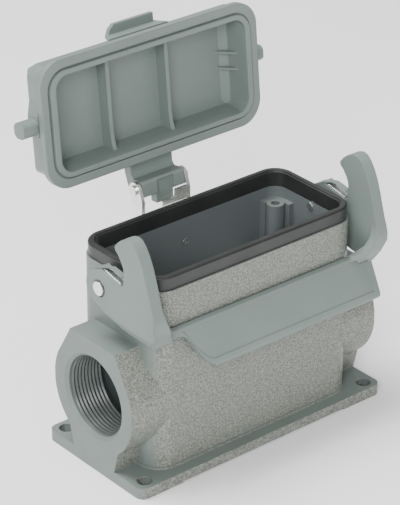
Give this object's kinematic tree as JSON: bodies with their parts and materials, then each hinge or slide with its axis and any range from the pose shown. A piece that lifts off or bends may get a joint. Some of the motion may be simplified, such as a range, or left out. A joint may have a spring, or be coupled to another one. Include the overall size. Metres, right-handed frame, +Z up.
{
  "type": "heavy duty rectangular connector base housing with cover",
  "caption": "Surface mounting base housing of a heavy duty rectangular connector with a collar seal, side cable entries, a locking lever and a hinged cover standing open.",
  "frame": {"origin": "middle of the rectangle of four mounting holes, in the mounting plane under the base flange", "axes": "+X along the length of the housing, +Y towards the hinge side, +Z up out of the collar"},
  "size_m": [0.115, 0.0824, 0.1416],
  "materials": {
    "cast_coat": "die-cast aluminium with a light grey powder coat",
    "seal_rubber": "black nitrile rubber",
    "lever_plastic": "grey moulded thermoplastic",
    "cover_plastic": "grey moulded thermoplastic",
    "steel": "zinc plated steel"
  },
  "bodies": {
    "base": {"housing": "cast_coat", "collar_seal": "seal_rubber", "lever_pin_left": "steel", "lever_pin_right": "steel", "hinge_bracket": "steel", "hinge_pin": "steel", "bracket_rivet": "steel"},
    "lever": {"locking_lever": "lever_plastic", "lever_leaf_left": "steel", "lever_leaf_right": "steel"},
    "lid": {"cover": "cover_plastic"}
  },
  "joints": [
    {"name": "lever_hinge", "type": "hinge", "parent": "base", "child": "lever", "pos_m": [0, 0, 0.0723], "axis": [1, 0, 0], "range_deg": [-33, 0]},
    {"name": "cover_hinge", "type": "hinge", "parent": "base", "child": "lid", "pos_m": [0, 0.034, 0.083], "axis": [1, 0, 0], "range_deg": [0, 96]}
  ]
}
